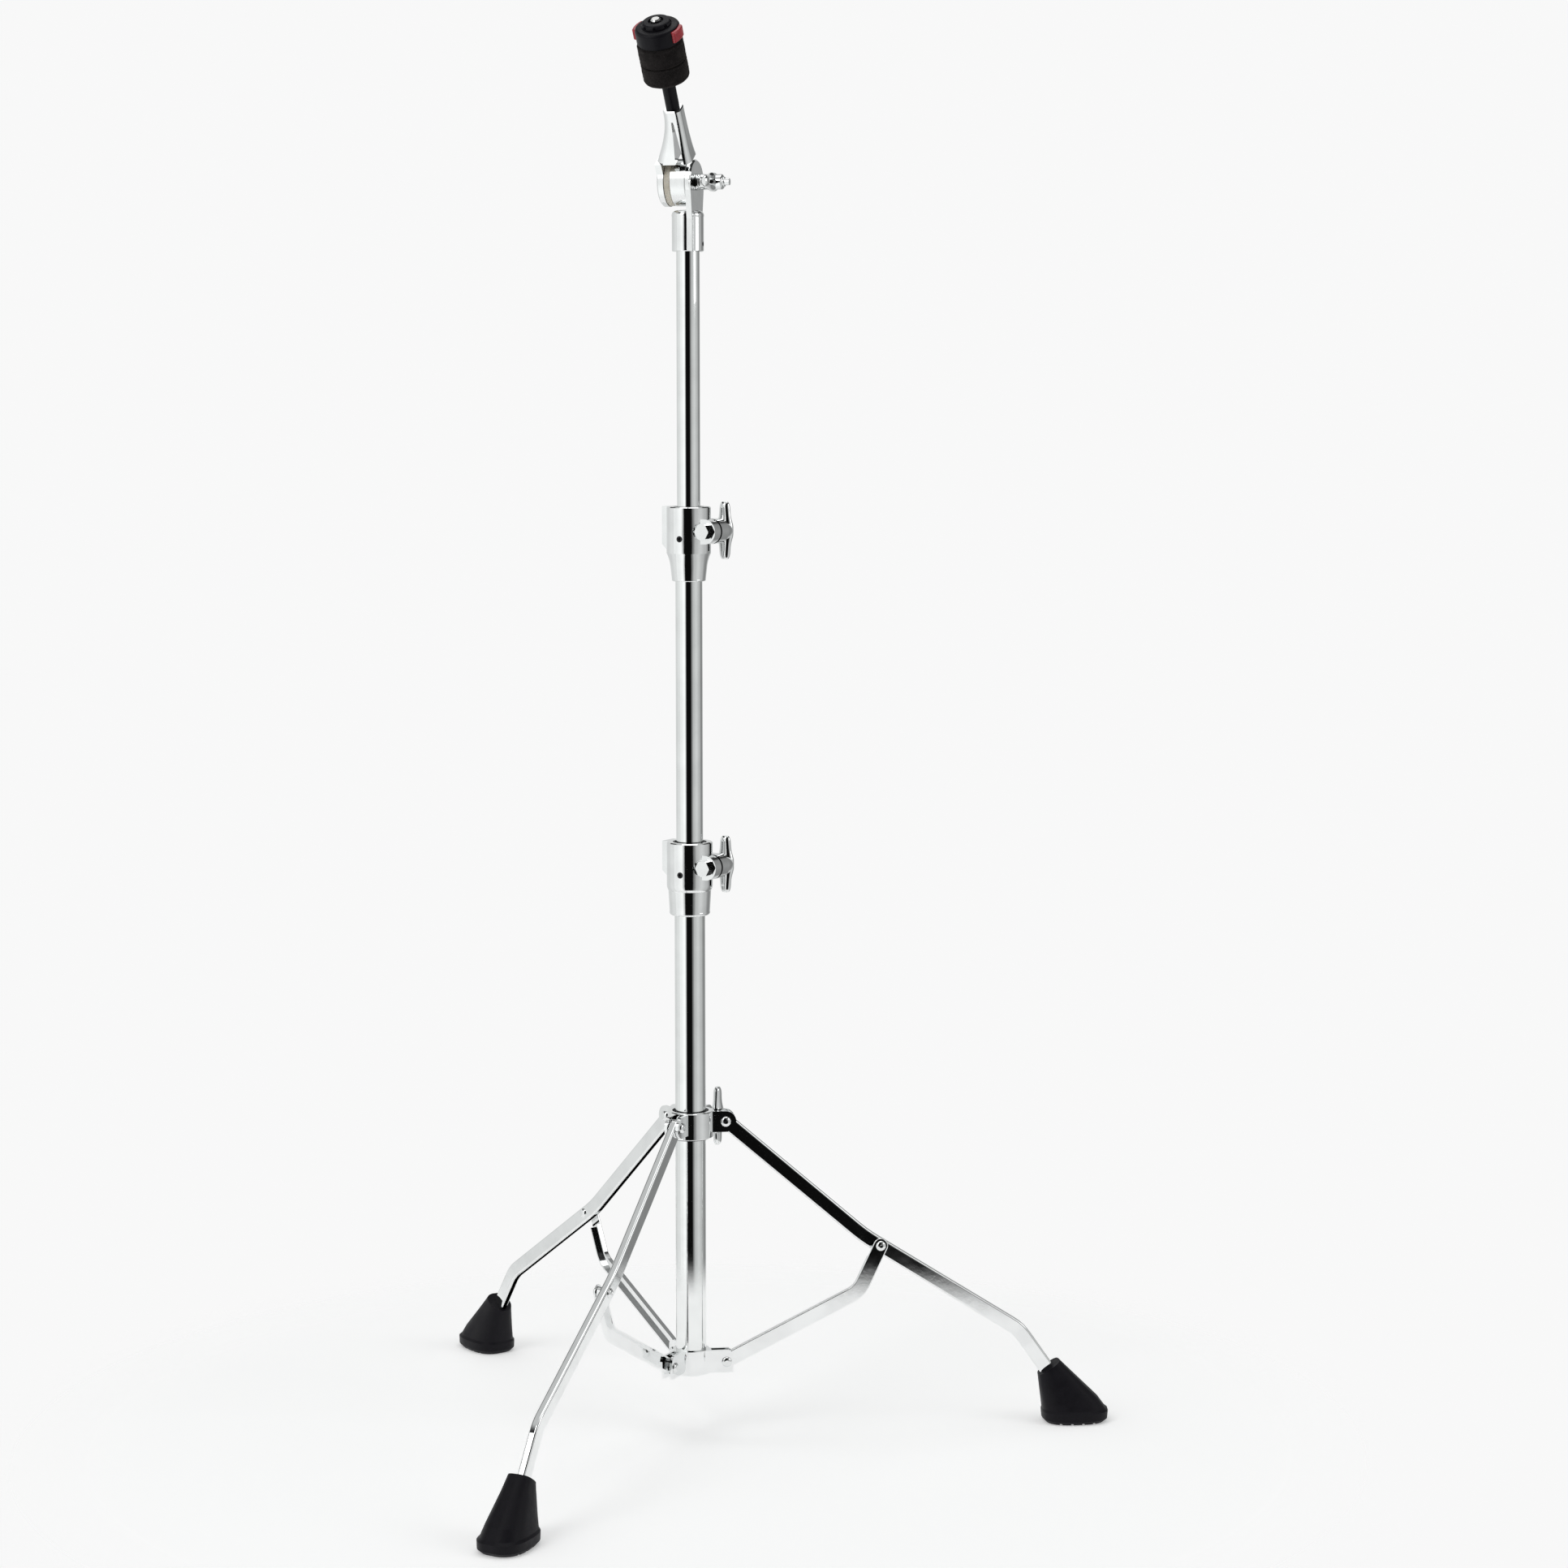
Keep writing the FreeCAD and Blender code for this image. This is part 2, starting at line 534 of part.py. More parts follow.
LOWER_SEAT = LOWER_JOINT_TOP - 38.0      # top end of the base tube inside the lower joint
UPPER_SEAT = UPPER_JOINT_TOP - 37.0      # top end of the middle tube inside the upper joint
MIDDLE_TUBE_END = LOWER_SEAT - 112.0     # lower ends of the sliding tubes, inside those that hold them
TOP_TUBE_END = UPPER_SEAT - 113.0
LOWER_BUSHING_R = MIDDLE_TUBE_R + SLIDE_GAP + 2.3
UPPER_BUSHING_R = TOP_TUBE_R + SLIDE_GAP + 2.35


def lower_joint():
    """Clamp on the base tube, holding the middle tube."""
    top = LOWER_JOINT_TOP
    outline = [(0, top), (18.2, top), (19.0, top - 0.8), (19.0, top - 35.5),
               ((18.6, top - 38.5), (17.7, top - 40.5)), (16.7, top - 58.0),
               ((16.2, top - 60.4), (15.0, top - 61.0)), (0, top - 61.0)]
    return joint_collar(top, outline, BASE_TUBE_R, LOWER_BUSHING_R + SLIDE_GAP, LOWER_SEAT, 22.0, 24.5)


def upper_joint():
    """Clamp on the middle tube, holding the top tube."""
    top = UPPER_JOINT_TOP
    outline = [(0, top), (17.4, top), (18.2, top - 0.8), (18.2, top - 38.0),
               ((16.0, top - 44.0), (14.9, top - 50.5)), (13.9, top - 59.5),
               ((13.6, top - 60.7), (12.9, top - 61.0)), (0, top - 61.0)]
    return joint_collar(top, outline, MIDDLE_TUBE_R, UPPER_BUSHING_R + SLIDE_GAP, UPPER_SEAT, 21.0, 31.0)


# ---------------------------------------------------------------- tilter
# Local frame of the tilter: X along the hinge axis, Y away from the lean, hinge axis at z = 0.
PLATE_IN, PLATE_OUT = 3.4, 8.0
DRUM_IN = -9.6
RING_IN = -14.4
EAR_OUT, EAR_IN = -20.2, -14.7


def tilter_placed(shape, lean=0.0):
    """Copy moved from the tilter's local frame to its place, leaned about the hinge axis."""
    copy = shape.copy()
    copy.rotate(ORIGIN, Vector(1, 0, 0), lean)
    copy.translate(Vector(0, 0, PIVOT_Z))
    return spun(copy, HINGE_AZIMUTH)


def tilter_base():
    """Casting on the top tube: socket below, flat blade up one side that carries the hinge."""
    low = TILTER_SOCKET_Z - PIVOT_Z
    high = low + TILTER_SOCKET_HEIGHT
    socket = turned([(0, low), (12.4, low), (13.0, low + 0.6), (13.0, high - 6.0),
                     ((12.2, high - 2.0), (9.5, high - 0.6)), (0, high)])
    blade = block((PLATE_IN, -13.5, low), (PLATE_OUT, 13.5, 0))
    flare = Part.makePolygon([Vector(PLATE_IN, -13.5, low + 26), Vector(PLATE_IN, 13.5, low + 26),
                              Vector(PLATE_IN, DRUM_R - 1.1, 0), Vector(PLATE_IN, 1.1 - DRUM_R, 0),
                              Vector(PLATE_IN, -13.5, low + 26)])
    shoulder = Part.Face(flare).extrude(Vector(PLATE_OUT - PLATE_IN, 0, 0))
    disc = bar_x(DRUM_R - 0.9, PLATE_IN, PLATE_OUT, 0, 0)
    rim = [e for e in disc.Edges if abs(e.CenterOfMass.x - PLATE_OUT) < 1e-6]
    disc = disc.makeChamfer(1.2, rim)
    body = joined(socket, blade, shoulder, disc)
    cuts = [Part.makeCylinder(TOP_TUBE_R, 30.0, Vector(0, 0, low - 1)),
            bar_x(BOLT_R, PLATE_IN - 1, PLATE_OUT + 1, 0, 0),
            bar_x(2.0, 5, 20, 0, low + 6.0)]
    return tilter_placed(body.cut(cuts))


def tilter_base_screw():
    """Grub screw in the side of the tilter's socket."""
    low = TILTER_SOCKET_Z - PIVOT_Z
    return tilter_placed(bar_x(2.0, TOP_TUBE_R, 12.4, 0, low + 6.0))


def tilter_drum():
    """Metal drum between the arm's ear and the blade, which it is keyed to."""
    drum = bar_x(DRUM_R, DRUM_IN, PLATE_IN, 0, 0)
    rims = [e for e in drum.Edges if e.Curve.TypeId == "Part::GeomCircle"]
    drum = drum.makeChamfer(0.6, rims)
    return tilter_placed(drum.cut(bar_x(BOLT_R, -30, 30, 0, 0)))


def tilter_friction_ring():
    """Pale plastic friction disc between the drum and the arm's ear."""
    ring = bar_x(DRUM_R - 0.4, RING_IN, DRUM_IN, 0, 0)
    return tilter_placed(ring.cut(bar_x(BOLT_R, -30, 30, 0, 0)))


def tilter_pivot_bolt():
    """Hinge bolt: domed head outside the ear, shank through the stack, stub beyond the wing nut."""
    head = turned([(0, 0), (8.0, 0), (8.0, 0.8), ((5.8, 2.6), (1.5, 3.2)), (0, 3.2)])
    head.rotate(ORIGIN, Vector(0, 1, 0), -90)
    head.translate(Vector(EAR_OUT - 0.2, 0, 0))
    shank = bar_x(BOLT_R, EAR_OUT - 0.5, 31.5, 0, 0)
    tip = bar_x(2.8, 31.5, 35.6, 0, 0)
    return tilter_placed(joined(head, shank, tip))


def tilter_wing_nut():
    """Wing nut on the hinge bolt, wings level, with a grooved collar next to the blade."""
    nut = wing_nut(22.4, 6.7, 6.2, BOLT_R + PIN_GAP, WING_SPAN, 13.0)
    for at in (1.4, 3.4):
        groove = pipe(9.0, 5.6, -0.45, 0.45)
        groove.rotate(ORIGIN, Vector(1, 0, 0), -90)
        groove.translate(Vector(0, at, 0))
        nut = nut.cut(groove)
    nut.rotate(ORIGIN, Vector(0, 1, 0), 90)
    nut.rotate(ORIGIN, Z_AXIS, -90)
    nut.translate(Vector(PLATE_OUT + 0.3, 0, 0))
    return tilter_placed(nut)


def arm_section(height, low_u, high_u, half_depth):
    """Rounded rectangle across the arm at a height above the hinge."""
    box = Part.makePlane(high_u - low_u, 2 * half_depth, Vector(low_u, -half_depth, height))
    corner = min(high_u - low_u, 2 * half_depth) * 0.3
    solid = box.extrude(Vector(0, 0, 1))
    uprights = [e for e in solid.Edges if abs(e.Vertexes[0].Z - e.Vertexes[1].Z) > 0.5]
    solid = solid.makeFillet(corner, uprights)
    floor_face = [f for f in solid.Faces if abs(f.CenterOfMass.z - height) < 1e-6][0]
    return floor_face.OuterWire


def tilter_arm():
    """Fork-shaped arm: one ear on the hinge, two legs with a slit between, socket for the stud."""
    ear = bar_x(DRUM_R + 0.3, EAR_OUT, EAR_IN, 0, 0)
    rim = [e for e in ear.Edges if abs(e.CenterOfMass.x - EAR_OUT) < 1e-6]
    ear = ear.makeChamfer(1.2, rim)
    neck = block((EAR_OUT, -13.0, 8.0), (EAR_IN, 13.0, 24.0))
    body = Part.makeLoft([arm_section(22.6, EAR_OUT, 9.5, 11.5), arm_section(33.0, -15.5, 8.6, 9.6),
                          arm_section(48.0, -10.0, 8.0, 8.0), arm_section(ARM_TOP, -7.6, 7.6, 7.6)],
                         True, False)
    wedge = Part.makePolygon([Vector(-3.4, -20, 20), Vector(4.2, -20, 20), Vector(0.4, -20, 59),
                              Vector(-1.2, -20, 59), Vector(-3.4, -20, 20)])
    slit = Part.Face(wedge).extrude(Vector(0, 40, 0))
    arm = joined(ear, neck, body)
    top_rim = [e for e in arm.Edges if e.BoundBox.ZMin > ARM_TOP - 0.01]
    arm = arm.makeChamfer(0.8, top_rim)
    cuts = [slit, bar_x(DRUM_R + 1.2, EAR_IN, 20, 0, 0), bar_x(BOLT_R + PIN_GAP, -30, 0, 0, 0),
            Part.makeCylinder(STUD_R, 60, Vector(0, 0, STUD_START)),
            Part.makeCylinder(SLEEVE_R, 20, Vector(0, 0, SLEEVE_START))]
    return tilter_placed(arm.cut(cuts), REST_LEAN)


def cymbal_stud():
    """Round stud with a chamfered threaded end."""
    stud = turned([(0, STUD_START), (STUD_R, STUD_START), (STUD_R, STUD_END - 1.0),
                   (STUD_R - 1.0, STUD_END), (0, STUD_END)])
    return tilter_placed(stud, REST_LEAN)


def stud_sleeve():
    """Black plastic sleeve over the stud, from the arm up through the felts."""
    high = FELT_START + 2 * FELT_THICKNESS - 2.0
    sleeve = turned([(STUD_R, SLEEVE_START), (SLEEVE_R, SLEEVE_START), (SLEEVE_R, high - 0.8),
                     (SLEEVE_R - 0.6, high), (STUD_R, high)])
    return tilter_placed(sleeve, REST_LEAN)


def felt(low, high, low_round, high_round):
    """Thick felt washer with softly rounded edges."""
    washer = pipe(FELT_R, SLEEVE_R + SLIDE_GAP, low, high)
    for z, radius in ((low, low_round), (high, high_round)):
        rim = [e for e in washer.Edges if abs(e.CenterOfMass.z - z) < 1e-6 and e.Length > 6 * FELT_R]
        washer = washer.makeFillet(radius, rim)
    return tilter_placed(washer, REST_LEAN)


# ---------------------------------------------------------------- quick-release topper
TOPPER_Z = FELT_START + 2 * FELT_THICKNESS + SLIDE_GAP
TOPPER_R = 18.0
HUB_R = 12.0
HUB_HEIGHT = 4.2
BUTTON_REACH = 20.4          # outermost point of a button
BUTTON_HALF_WIDTH = 7.0
BUTTON_BACK = 14.2


def topper_placed(shape):
    """Copy moved on to the stud; local z = 0 is the underside, local X the way of the buttons."""
    copy = spun(shape, BUTTON_AZIMUTH - HINGE_AZIMUTH)
    copy.translate(Vector(0, 0, TOPPER_Z))
    return tilter_placed(copy, REST_LEAN)


def topper_shell():
    """Black moulded housing: drum, notched hub and a pocket for each button."""
    height = TOPPER_HEIGHT
    top = height + HUB_HEIGHT
    body = turned([(0, 1.5), (TOPPER_R, 1.5), (TOPPER_R, height - 2.5),
                   ((TOPPER_R - 0.9, height - 0.8), (TOPPER_R - 3.0, height)), (HUB_R, height + 0.4),
                   ((HUB_R - 0.7, top - 1.0), (HUB_R - 3.2, top)), (0, top)])
    pocket = block((-30, -BUTTON_HALF_WIDTH - 0.4, 2.4), (30, BUTTON_HALF_WIDTH + 0.4, height - 1.2))
    chamber = block((-13, -6.6, 1.0), (13, 6.6, height - 1.0))
    recess = Part.makeCylinder(6.2, 10, Vector(0, 0, top - 1.8))
    notch = Part.makeCylinder(1.7, 10, Vector(HUB_R + 0.3, 0, height + 1.3))
    notches = [spun(notch, 22.5 + 45 * i) for i in range(8)]
    bore = Part.makeCylinder(STUD_R + SLIDE_GAP, 40)
    return topper_placed(body.cut([pocket, chamber, recess, bore] + notches))


def topper_cover():
    """Plate that closes the housing from below."""
    plate = pipe(TOPPER_R - 0.8, STUD_R + SLIDE_GAP, 0, 1.5)
    return topper_placed(plate.fuse(block((-12.9, -6.5, 0.5), (12.9, 6.5, 1.5)).cut(
        Part.makeCylinder(STUD_R + SLIDE_GAP, 5))))


def button(side):
    """Red push button with a bowed face, moving along X."""
    body = block((BUTTON_BACK, -BUTTON_HALF_WIDTH, 2.8),
                 (BUTTON_REACH, BUTTON_HALF_WIDTH, TOPPER_HEIGHT - 1.6))
    body = body.common(Part.makeCylinder(BUTTON_REACH, TOPPER_HEIGHT))
    edges = [e for e in body.Edges if e.BoundBox.XMin > BUTTON_REACH - 1.5]
    body = body.makeFillet(1.4, edges)
    if side < 0:
        body.rotate(ORIGIN, Z_AXIS, 180)
    return topper_placed(body)


def jaw(side, low, high):
    """Slotted plate behind a button; its far edge bites on the stud."""
    plate = block((-6.8, -5.0, low), (BUTTON_BACK, 5.0, high))
    grip = STUD_R + SLIDE_GAP
    window = Part.makeCylinder(grip, 20, ORIGIN)
    window = window.fuse(Part.makeCylinder(grip, 20, Vector(BUTTON_TRAVEL + 0.4, 0, 0)))
    window = window.fuse(block((0, -grip, 0), (BUTTON_TRAVEL + 0.4, grip, 20)))
    plate = plate.cut(window)
    if side < 0:
        plate.rotate(ORIGIN, Z_AXIS, 180)
    return topper_placed(plate)


def button_springs():
    """Two coil springs, drawn squeezed, each between a jaw's tail and the other button."""
    springs = []
    for side, z in ((1, 7.9), (-1, 4.5)):
        helix = Part.makeHelix(0.9, 2.7, 1.3)
        ring = Part.Wire(Part.makeCircle(0.3, Vector(1.3, 0, 0), Vector(0, 1, 0)))
        coil = Part.Wire(helix).makePipeShell([ring], True, True)
        coil.rotate(ORIGIN, Vector(0, 1, 0), -90)
        coil.translate(Vector(-9.1, 0, 0))
        coil.translate(Vector(0, 0, z))
        springs.append(spun(coil, 0 if side > 0 else 180))
    return topper_placed(Part.makeCompound(springs))


# ---------------------------------------------------------------- write every node
def main():
    """Build and save all the nodes."""
    os.makedirs("parts", exist_ok=True)
    save("base_tube", pipe(BASE_TUBE_R, BASE_TUBE_R - TUBE_WALL, BRACKET_Z, LOWER_SEAT))
    save("leg_bracket", leg_bracket())
    save("bracket_rivets", bracket_rivets())

    save("lower_joint_collar", lower_joint())
    save("lower_joint_screw", joint_screw(LOWER_JOINT_TOP, LOWER_BUSHING_R + SLIDE_GAP + 0.6, 18.2))
    save("lower_joint_bolt", joint_bolt(LOWER_JOINT_TOP))
    save("lower_joint_wing_nut", joint_wing_nut(LOWER_JOINT_TOP))
    save("lower_bushing", bushing(MIDDLE_TUBE_R + SLIDE_GAP, LOWER_BUSHING_R,
                                  LOWER_SEAT + SLIDE_GAP, LOWER_JOINT_TOP - 1.4))

    save("middle_tube", pipe(MIDDLE_TUBE_R, MIDDLE_TUBE_R - TUBE_WALL, MIDDLE_TUBE_END, UPPER_SEAT))
    save("upper_joint_collar", upper_joint())
    save("upper_joint_screw", joint_screw(UPPER_JOINT_TOP, UPPER_BUSHING_R + SLIDE_GAP + 0.6, 17.4))
    save("upper_joint_bolt", joint_bolt(UPPER_JOINT_TOP))
    save("upper_joint_wing_nut", joint_wing_nut(UPPER_JOINT_TOP))
    save("upper_bushing", bushing(TOP_TUBE_R + SLIDE_GAP, UPPER_BUSHING_R,
                                  UPPER_SEAT + SLIDE_GAP, UPPER_JOINT_TOP - 1.4))

    save("top_tube", pipe(TOP_TUBE_R, TOP_TUBE_R - TUBE_WALL, TOP_TUBE_END, TILTER_SOCKET_Z + 29.0))
    save("tilter_base", tilter_base())
    save("tilter_base_screw", tilter_base_screw())
    save("tilter_drum", tilter_drum())
    save("tilter_friction_ring", tilter_friction_ring())
    save("tilter_pivot_bolt", tilter_pivot_bolt())
    save("tilter_wing_nut", tilter_wing_nut())

    save("tilter_arm", tilter_arm())
    save("cymbal_stud", cymbal_stud())
    save("stud_sleeve", stud_sleeve())
    middle = FELT_START + FELT_THICKNESS
    save("lower_felt", felt(FELT_START, middle, 3.5, 1.2))
    save("upper_felt", felt(middle + SLIDE_GAP, middle + FELT_THICKNESS, 1.2, 1.6))

    save("topper_shell", topper_shell())
    save("topper_cover", topper_cover())
    save("button_right", button(1))
    save("button_left", button(-1))
    save("jaw_right", jaw(1, 6.4, 9.2))
    save("jaw_left", jaw(-1, 3.0, 5.8))
    save("button_springs", button_springs())

    save("leg_collar", leg_collar())
    save("collar_liner", collar_liner())
    save("collar_rivets", collar_rivets())
    save("collar_bolt", collar_bolt())
    save("collar_wing_nut", collar_wing_nut())
    for letter, azimuth in LEG_AZIMUTHS.items():
        save("leg_" + letter, spun(leg_channel(), azimuth))
        save("foot_" + letter, spun(rubber_foot(), azimuth))
        save("brace_" + letter, spun(brace_channel(), azimuth))
        save("brace_rivet_" + letter, spun(brace_rivet(), azimuth))


main()
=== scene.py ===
"""Straight cymbal stand: materials, felts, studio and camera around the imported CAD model."""

import bmesh
import bpy
import json
import math
import random

from mathutils import Matrix, Vector, noise

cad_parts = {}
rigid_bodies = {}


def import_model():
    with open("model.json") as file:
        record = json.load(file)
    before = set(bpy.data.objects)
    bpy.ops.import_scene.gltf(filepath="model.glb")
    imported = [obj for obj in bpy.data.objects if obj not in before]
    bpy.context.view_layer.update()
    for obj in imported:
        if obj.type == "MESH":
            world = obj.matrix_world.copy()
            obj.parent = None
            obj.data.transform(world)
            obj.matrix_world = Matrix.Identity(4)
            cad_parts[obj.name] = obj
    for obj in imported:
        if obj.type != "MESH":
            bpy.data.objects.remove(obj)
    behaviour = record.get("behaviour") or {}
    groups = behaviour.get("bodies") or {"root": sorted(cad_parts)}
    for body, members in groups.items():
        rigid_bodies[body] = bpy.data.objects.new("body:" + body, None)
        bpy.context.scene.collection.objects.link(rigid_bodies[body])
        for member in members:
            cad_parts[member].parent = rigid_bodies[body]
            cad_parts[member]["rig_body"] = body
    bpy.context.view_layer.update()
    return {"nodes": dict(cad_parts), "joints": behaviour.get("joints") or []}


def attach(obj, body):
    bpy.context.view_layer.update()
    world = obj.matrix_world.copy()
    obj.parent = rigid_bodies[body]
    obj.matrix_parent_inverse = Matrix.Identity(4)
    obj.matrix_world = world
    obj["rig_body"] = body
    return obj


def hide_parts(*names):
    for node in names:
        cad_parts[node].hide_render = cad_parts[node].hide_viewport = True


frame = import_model()
MM = 0.001


# ---------------------------------------------------------------- places from the frame
def joint(name):
    """One joint of the frame."""
    return next(j for j in frame["joints"] if j["name"] == name)


STUD_AXIS = Vector(joint("topper_lift")["axis"]).normalized()
STUD_ORIGIN = Vector(joint("tilt")["pos_m"])
STUD_FRAME = Matrix.Translation(STUD_ORIGIN) @ STUD_AXIS.to_track_quat("Z", "Y").to_matrix().to_4x4()


def stud_extent(node):
    """Lowest and highest place along the stud and the largest radius of a CAD node."""
    to_stud = STUD_FRAME.inverted()
    points = [to_stud @ v.co for v in frame["nodes"][node].data.vertices]
    heights = [p.z for p in points]
    return min(heights), max(heights), max(p.xy.length for p in points)


# ---------------------------------------------------------------- material helpers
# sockets of a Mix node set to colours; several share one name
MIX_COLOUR_A = 6
MIX_COLOUR_B = 7
MIX_COLOUR_OUT = 2


class Surface:
    """A principled material being built, with its object-space coordinates at hand."""

    def __init__(self, name, colour, metallic=0.0, roughness=0.5):
        self.material = bpy.data.materials.new(name)
        self.material.use_nodes = True
        self.tree = self.material.node_tree
        self.shader = self.tree.nodes["Principled BSDF"]
        self.shader.inputs["Base Color"].default_value = (*colour, 1.0)
        self.shader.inputs["Metallic"].default_value = metallic
        self.shader.inputs["Roughness"].default_value = roughness
        self.coordinates = self.tree.nodes.new("ShaderNodeTexCoord")
        self.height = None

    def node(self, kind, **values):
        """A new node; values set its sockets or, failing that, its properties."""
        made = self.tree.nodes.new(kind)
        for key, value in values.items():
            if key in made.inputs:
                made.inputs[key].default_value = value
            else:
                setattr(made, key, value)
        return made

    def link(self, source, target):
        """Connects two sockets."""
        self.tree.links.new(source, target)

    def noise(self, scale, detail=3.0, stretch=(1.0, 1.0, 1.0), turn=(0.0, 0.0, 0.0)):
        """Fractal noise with about `scale` lumps to a metre; stretch makes it finer along an axis."""
        mapping = self.node("ShaderNodeMapping")
        mapping.inputs["Scale"].default_value = stretch
        mapping.inputs["Rotation"].default_value = turn
        self.link(self.coordinates.outputs["Object"], mapping.inputs["Vector"])
        texture = self.node("ShaderNodeTexNoise", Scale=scale, Detail=detail, Roughness=0.55)
        self.link(mapping.outputs["Vector"], texture.inputs["Vector"])
        return texture.outputs["Fac"]

    def cells(self, scale):
        """Cell pattern with about `scale` cells to a metre."""
        texture = self.node("ShaderNodeTexVoronoi", Scale=scale)
        texture.feature = "F1"
        self.link(self.coordinates.outputs["Object"], texture.inputs["Vector"])
        return texture.outputs["Distance"]

    def ramp(self, factor, stops):
        """Colour ramp from (place, colour or grey) stops."""
        made = self.node("ShaderNodeValToRGB")
        while len(made.color_ramp.elements) < len(stops):
            made.color_ramp.elements.new(0.5)
        for element, (place, colour) in zip(made.color_ramp.elements, stops):
            grey = isinstance(colour, float)
            element.position = place
            element.color = (colour, colour, colour, 1.0) if grey else (*colour, 1.0)
        self.link(factor, made.inputs["Fac"])
        return made.outputs["Color"]

    def mix(self, factor, first, second):
        """Mix of two colour sockets."""
        made = self.node("ShaderNodeMix", data_type="RGBA", blend_type="MIX")
        self.link(factor, made.inputs["Factor"])
        self.link(first, made.inputs[MIX_COLOUR_A])
        self.link(second, made.inputs[MIX_COLOUR_B])
        return made.outputs[MIX_COLOUR_OUT]

    def colour(self, socket):
        """Drives the base colour."""
        self.link(socket, self.shader.inputs["Base Color"])

    def roughness(self, factor, low, high, start=0.3, stop=0.7):
        """Drives the roughness from low to high as a pattern goes from start to stop."""
        span = self.node("ShaderNodeMapRange")
        span.inputs["From Min"].default_value = start
        span.inputs["From Max"].default_value = stop
        span.inputs["To Min"].default_value = low
        span.inputs["To Max"].default_value = high
        self.link(factor, span.inputs["Value"])
        self.link(span.outputs["Result"], self.shader.inputs["Roughness"])

    def bump(self, factor, depth, strength=1.0):
        """Adds relief of a given depth in metres on top of any earlier relief."""
        made = self.node("ShaderNodeBump", Strength=strength, Distance=depth)
        self.link(factor, made.inputs["Height"])
        if self.height:
            self.link(self.height, made.inputs["Normal"])
        self.height = made.outputs["Normal"]
        self.link(self.height, self.shader.inputs["Normal"])


# ---------------------------------------------------------------- materials
def chrome(name, tint, rough_low, rough_high, peel, scratch=0.0, grain=(1.0, 1.0, 1.0)):
    """Bright chrome plate: faint handling film, orange peel from the plating, hairline scratches."""
    surface = Surface(name, tint, metallic=1.0, roughness=rough_low)
    film = surface.noise(55.0, 5.0)
    darker = tuple(0.93 * c for c in tint)
    surface.colour(surface.ramp(film, [(0.35, darker), (0.62, tint)]))
    surface.roughness(film, rough_high, rough_low, 0.35, 0.65)
    surface.bump(surface.noise(260.0, 2.0), peel)
    if scratch:
        surface.bump(surface.noise(900.0, 3.0, grain), scratch)
    return surface.material


def turned_steel():
    """Bare turned steel with fine tool marks."""
    surface = Surface("turned_steel", (0.62, 0.62, 0.61), metallic=1.0, roughness=0.26)
    surface.roughness(surface.noise(420.0, 4.0), 0.18, 0.34)
    surface.bump(surface.noise(2200.0, 2.0, (1.0, 1.0, 3.0)), 0.00002)
    return surface.material


def black_oxide():
    """Blackened steel screws, slightly oily."""
    surface = Surface("black_oxide", (0.025, 0.025, 0.027), metallic=0.7, roughness=0.35)
    surface.roughness(surface.noise(700.0, 4.0), 0.26, 0.48)
    surface.bump(surface.noise(1800.0, 2.0), 0.00002)
    return surface.material


def nylon():
    """Pale friction disc, a little yellowed, with turning marks."""
    surface = Surface("nylon", (0.72, 0.67, 0.56), roughness=0.42)
    surface.shader.inputs["Subsurface Weight"].default_value = 0.12
    surface.shader.inputs["Subsurface Radius"].default_value = (0.004, 0.003, 0.002)
    clouds = [(0.3, (0.66, 0.60, 0.48)), (0.7, (0.80, 0.75, 0.65))]
    surface.colour(surface.ramp(surface.noise(160.0, 4.0), clouds))
    surface.bump(surface.noise(1500.0, 2.0), 0.00003)
    return surface.material


def moulded_black(name, colour, roughness, texture_size, texture_depth):
    """Black moulding with a fine spark-eroded texture and worn, shinier patches."""
    surface = Surface(name, colour, roughness=roughness)
    surface.shader.inputs["Specular IOR Level"].default_value = 0.16
    patches = surface.noise(90.0, 4.0)
    lighter = tuple(1.5 * c + 0.002 for c in colour)
    surface.colour(surface.ramp(patches, [(0.3, colour), (0.75, lighter)]))
    surface.roughness(patches, roughness * 0.8, roughness * 1.2)
    surface.bump(surface.cells(1000.0 / texture_size), texture_depth)
    return surface.material


def red_plastic():
    """Glossy red buttons, thumbed a little duller in the middle."""
    surface = Surface("red_plastic", (0.42, 0.012, 0.025), roughness=0.24)
    surface.shader.inputs["Coat Weight"].default_value = 0.25
    surface.shader.inputs["Coat Roughness"].default_value = 0.12
    thumbed = surface.noise(230.0, 3.0)
    surface.colour(surface.ramp(thumbed, [(0.3, (0.34, 0.008, 0.018)), (0.7, (0.50, 0.020, 0.035))]))
    surface.roughness(thumbed, 0.2, 0.34)
    surface.bump(surface.noise(1400.0, 2.0), 0.00002)
    return surface.material


